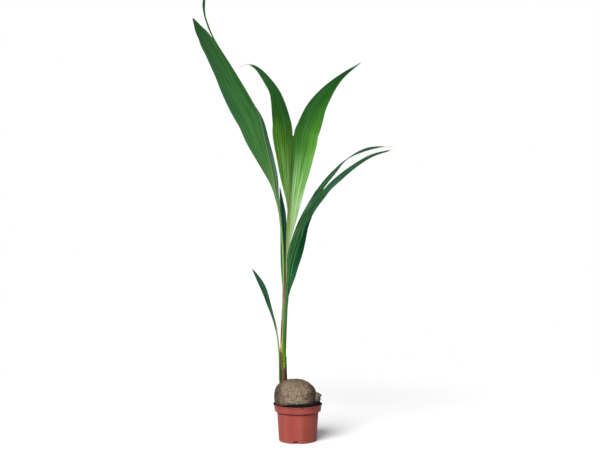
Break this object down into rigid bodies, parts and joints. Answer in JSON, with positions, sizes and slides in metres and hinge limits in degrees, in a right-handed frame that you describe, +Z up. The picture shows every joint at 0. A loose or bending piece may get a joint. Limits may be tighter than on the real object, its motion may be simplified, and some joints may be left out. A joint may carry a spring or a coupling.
{
  "type": "potted coconut palm seedling",
  "caption": "Young coconut palm sprouting from its nut in a tapered nursery pot, with long pleated leaves, some split in two at the tip.",
  "frame": {"origin": "centre of the pot's flat underside, on the level floor that it stands on", "axes": "+Z up along the plant; -Y is the side that the open fan of the youngest leaf faces; +X is towards the arching leaf on the right"},
  "size_m": [0.7912, 0.2976, 1.79],
  "materials": {
    "pot": "moulded polypropylene, slightly glossy, terracotta red-brown",
    "soil": "dark damp potting peat with fine fibres",
    "husk": "dry weathered coconut husk, fibrous, grey-brown",
    "calyx": "dark dry calyx scales",
    "stem": "bundle of leaf bases, yellow-green to olive, satin",
    "sheath": "dry papery brown leaf sheath",
    "rib": "light green petiole and midrib, satin",
    "blade_a": "dark blue-green leaf, satin, finely pleated",
    "blade_b": "mid green leaf, satin, finely pleated",
    "blade_c": "fresh light green leaf, satin, finely pleated",
    "blade_d": "dark green leaf, satin, finely pleated",
    "blade_e": "deep green leaf, satin, finely pleated"
  },
  "bodies": {
    "root": {"pot": "pot", "soil": "soil", "nut": "husk", "calyx": "calyx", "stem": "stem", "sheath_base": "sheath", "sheath_tip": "sheath", "leaf_a_rib": "rib", "leaf_a_left": "blade_a", "leaf_a_right": "blade_a", "leaf_b_rib": "rib", "leaf_b_left": "blade_b", "leaf_b_right": "blade_b", "leaf_c_rib": "rib", "leaf_c_left": "blade_c", "leaf_c_right": "blade_c", "leaf_d_rib": "rib", "leaf_d_left": "blade_d", "leaf_d_right": "blade_d", "leaf_e_rib": "rib", "leaf_e_left": "blade_e", "leaf_e_right": "blade_e"}
  },
  "joints": []
}
